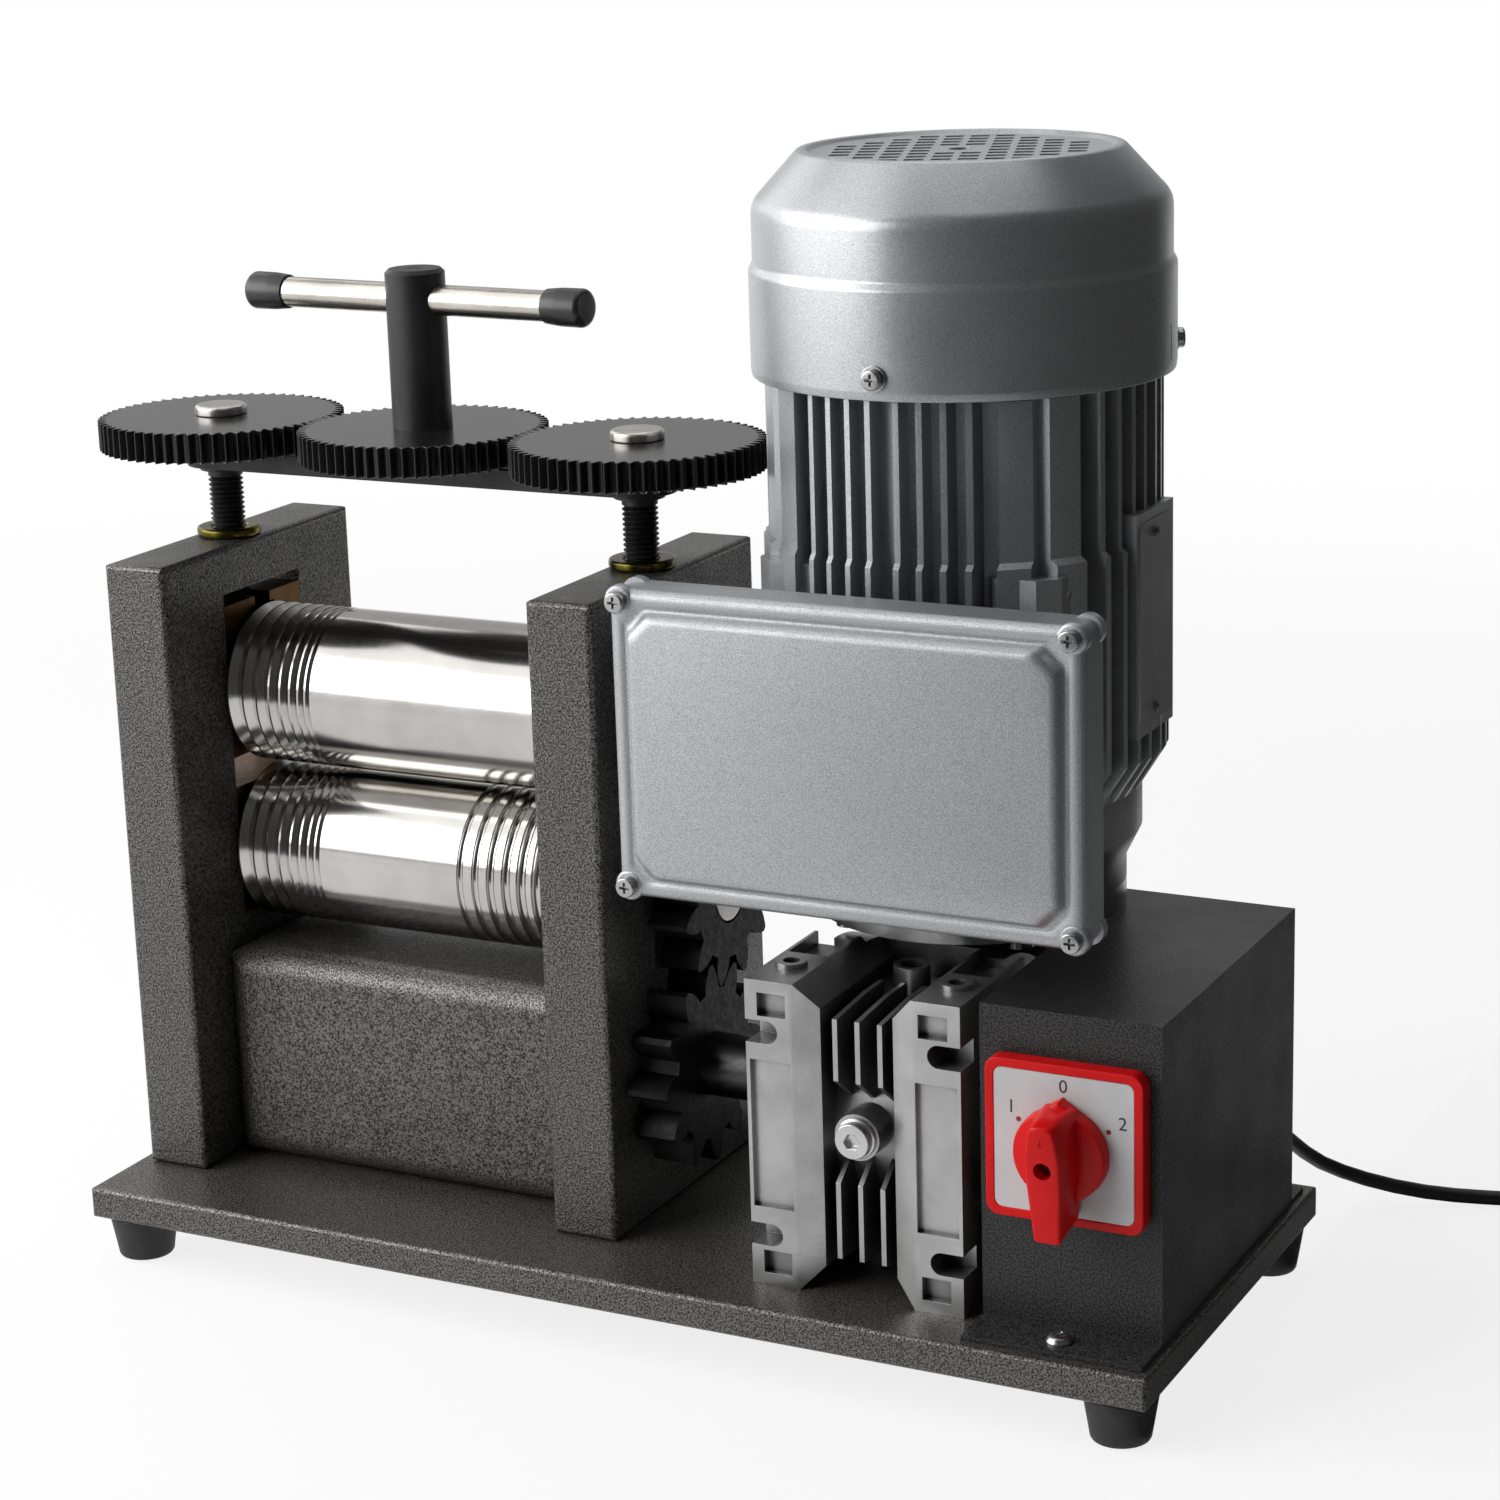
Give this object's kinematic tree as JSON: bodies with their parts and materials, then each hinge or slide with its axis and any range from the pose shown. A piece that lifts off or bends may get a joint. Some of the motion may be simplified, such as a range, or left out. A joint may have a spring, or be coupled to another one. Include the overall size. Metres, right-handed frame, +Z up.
{
  "type": "electric rolling mill",
  "caption": "Bench rolling mill with grooved rolls between steel cheeks, a geared T-handle screw-down, and a motor with worm gearbox and rotary switch on a footed base.",
  "frame": {"origin": "on the floor under the middle of the machine's own box, cord left out", "axes": "+X along the rolls from the roll stand to the switch box, +Y towards the back, +Z up"},
  "size_m": [0.6576, 0.2848, 0.443],
  "materials": {
    "hammertone": "dark grey hammertone paint",
    "black_rubber": "matte black rubber",
    "steel": "bright machined steel",
    "bronze": "machined bronze",
    "roll_steel": "ground and polished hardened steel",
    "dark_gear": "blackened and oiled",
    "black_steel": "satin black",
    "gear_black": "gloss black",
    "nickel": "nickel plated",
    "black_plastic": "moulded black plastic",
    "die_cast": "bright die-cast aluminium",
    "silver_paint": "silver metallic paint over aluminium",
    "pale_plastic": "moulded pale plastic",
    "box_black": "black wrinkle paint",
    "red_plastic": "glossy red plastic"
  },
  "bodies": {
    "machine": {"base_plate": "hammertone", "rubber_feet": "black_rubber", "base_bolts": "steel", "left_cheek": "hammertone", "right_cheek": "hammertone", "spacer_block": "hammertone", "lower_blocks": "bronze", "screw_nuts": "bronze", "reducer_housing": "die_cast", "side_covers": "die_cast", "side_cover_screws": "steel", "output_seals": "black_rubber", "output_bearings": "steel", "worm_bearings": "steel", "oil_plug": "nickel", "motor_frame": "silver_paint", "drive_end_shield": "silver_paint", "rear_end_shield": "silver_paint", "stator": "steel", "motor_bearings": "steel", "fan_cover": "silver_paint", "fan_cover_screws": "steel", "flange_bolts": "steel", "terminal_box": "silver_paint", "terminal_cover": "silver_paint", "terminal_screws": "steel", "run_capacitor": "pale_plastic", "switch_box": "box_black", "box_screws": "steel", "switch_body": "pale_plastic", "switch_plate": "red_plastic", "cable_gland": "black_plastic", "mains_cord": "black_rubber", "cord_coil": "black_rubber", "cord_tie": "black_plastic", "plug": "black_plastic"},
    "screw_down": {"upper_blocks": "bronze", "link_bar": "black_steel"},
    "handle": {"centre_gear": "gear_black", "handle_post": "black_steel", "handle_bar": "nickel", "bar_caps": "black_plastic"},
    "left_jackscrew": {"left_screw": "black_steel", "left_screw_gear": "gear_black", "left_gear_cap": "nickel"},
    "right_jackscrew": {"right_screw": "black_steel", "right_screw_gear": "gear_black", "right_gear_cap": "nickel"},
    "upper_roll_set": {"upper_roll": "roll_steel", "upper_roll_gear": "dark_gear"},
    "lower_roll_set": {"lower_roll": "roll_steel", "lower_roll_gear": "dark_gear"},
    "output_set": {"worm_wheel": "bronze", "output_shaft": "steel", "shaft_keys": "steel", "drive_gear": "dark_gear"},
    "motor_rotor": {"rotor": "steel", "cooling_fan": "black_plastic", "worm_shaft": "steel"},
    "knob": {"switch_knob": "red_plastic"}
  },
  "joints": [
    {"name": "roll_gap", "type": "slide", "parent": "machine", "child": "screw_down", "axis": [0, 0, 1], "range_m": [-0.00121, 0.00401]},
    {"name": "handle_turn", "type": "hinge", "parent": "screw_down", "child": "handle", "pos_m": [-0.09685, -0.0038, 0.326], "axis": [0, 0, 1], "range_deg": [-720, 216]},
    {"name": "left_screw_turn", "type": "hinge", "parent": "screw_down", "child": "left_jackscrew", "pos_m": [-0.19285, -0.0038, 0.326], "axis": [0, 0, 1], "range_deg": [-216, 720]},
    {"name": "right_screw_turn", "type": "hinge", "parent": "screw_down", "child": "right_jackscrew", "pos_m": [-0.00085, -0.0038, 0.326], "axis": [0, 0, 1], "range_deg": [-216, 720]},
    {"name": "motor_turn", "type": "hinge", "parent": "machine", "child": "motor_rotor", "pos_m": [0.12095, 0.0282, 0.2], "axis": [0, 0, 1], "continuous": true},
    {"name": "output_turn", "type": "hinge", "parent": "machine", "child": "output_set", "pos_m": [0.12095, -0.0218, 0.091], "axis": [1, 0, 0], "continuous": true},
    {"name": "lower_roll_turn", "type": "hinge", "parent": "machine", "child": "lower_roll_set", "pos_m": [-0.09685, -0.0038, 0.15658], "axis": [1, 0, 0], "continuous": true},
    {"name": "upper_roll_turn", "type": "hinge", "parent": "screw_down", "child": "upper_roll_set", "pos_m": [-0.09685, -0.0038, 0.22308], "axis": [1, 0, 0], "continuous": true},
    {"name": "switch_turn", "type": "hinge", "parent": "machine", "child": "knob", "pos_m": [0.20435, -0.09, 0.1034], "axis": [0, -1, 0], "range_deg": [-60, 60]}
  ],
  "couplings": [
    {"joint": "left_screw_turn", "follows": "handle_turn", "ratio": -1},
    {"joint": "right_screw_turn", "follows": "handle_turn", "ratio": -1},
    {"joint": "roll_gap", "follows": "handle_turn", "m_per_rad": -0.00031831},
    {"joint": "output_turn", "follows": "motor_turn", "ratio": -0.033333},
    {"joint": "lower_roll_turn", "follows": "motor_turn", "ratio": 0.036364},
    {"joint": "upper_roll_turn", "follows": "motor_turn", "ratio": -0.036364}
  ]
}
